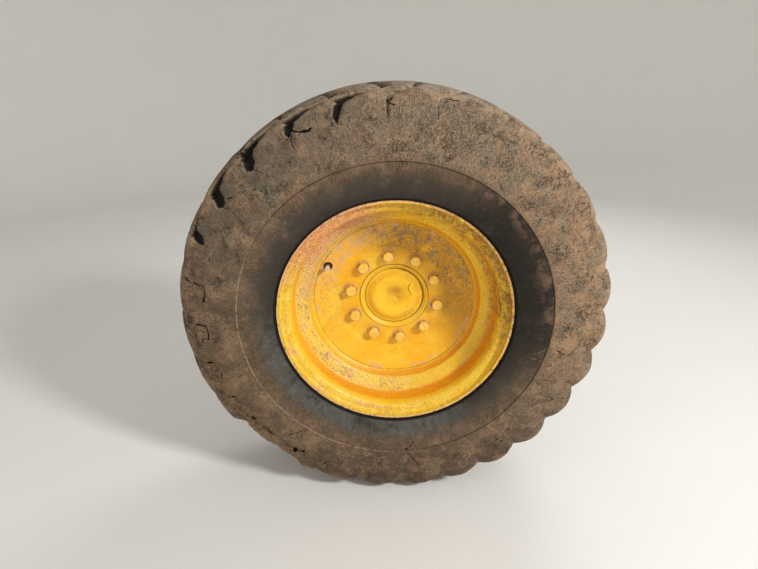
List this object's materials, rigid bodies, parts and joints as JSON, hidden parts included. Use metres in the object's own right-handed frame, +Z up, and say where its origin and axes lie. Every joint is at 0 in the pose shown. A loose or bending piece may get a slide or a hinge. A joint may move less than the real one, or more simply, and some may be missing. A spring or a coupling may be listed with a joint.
{
  "type": "motor grader front wheel on its hub and steering knuckle",
  "caption": "Wide tyre on a yellow steel drop-centre rim, bolted to a hub that turns on a spindle carried by a forked kingpin knuckle with a steering arm.",
  "frame": {"origin": "where the kingpin's axis crosses the wheel's axis", "axes": "+Z up along the kingpin bore, -Y outboard along the wheel's axis, +X to the machine's rear"},
  "size_m": [1.3318, 0.5553, 1.332],
  "materials": {
    "tyre_rubber": "dusty worn rubber",
    "yellow_paint": "weathered gloss paint",
    "primer_washer": "worn to primer",
    "seal_rubber": "matt rubber",
    "valve_brass": "dull brass",
    "bare_steel": "oiled steel",
    "bush_bronze": "greased bronze"
  },
  "bodies": {
    "knuckle_body": {"knuckle": "yellow_paint", "kingpin_bushes": "bush_bronze", "steering_arm": "yellow_paint", "arm_bolts": "bare_steel", "spindle": "bare_steel", "spindle_screws": "bare_steel"},
    "wheel": {"tyre": "tyre_rubber", "rim": "yellow_paint", "disc": "yellow_paint", "weld_outer": "yellow_paint", "weld_inner": "yellow_paint", "hub": "yellow_paint", "hub_cap": "yellow_paint", "hub_seal": "seal_rubber", "wheel_bolts": "yellow_paint", "bolt_washers": "primer_washer", "valve_base": "seal_rubber", "valve_stem": "valve_brass", "valve_cap": "seal_rubber"}
  },
  "joints": [
    {"name": "wheel_spin", "type": "hinge", "parent": "knuckle_body", "child": "wheel", "pos_m": [0, -0.22, 0], "axis": [0, -1, 0], "continuous": true}
  ]
}
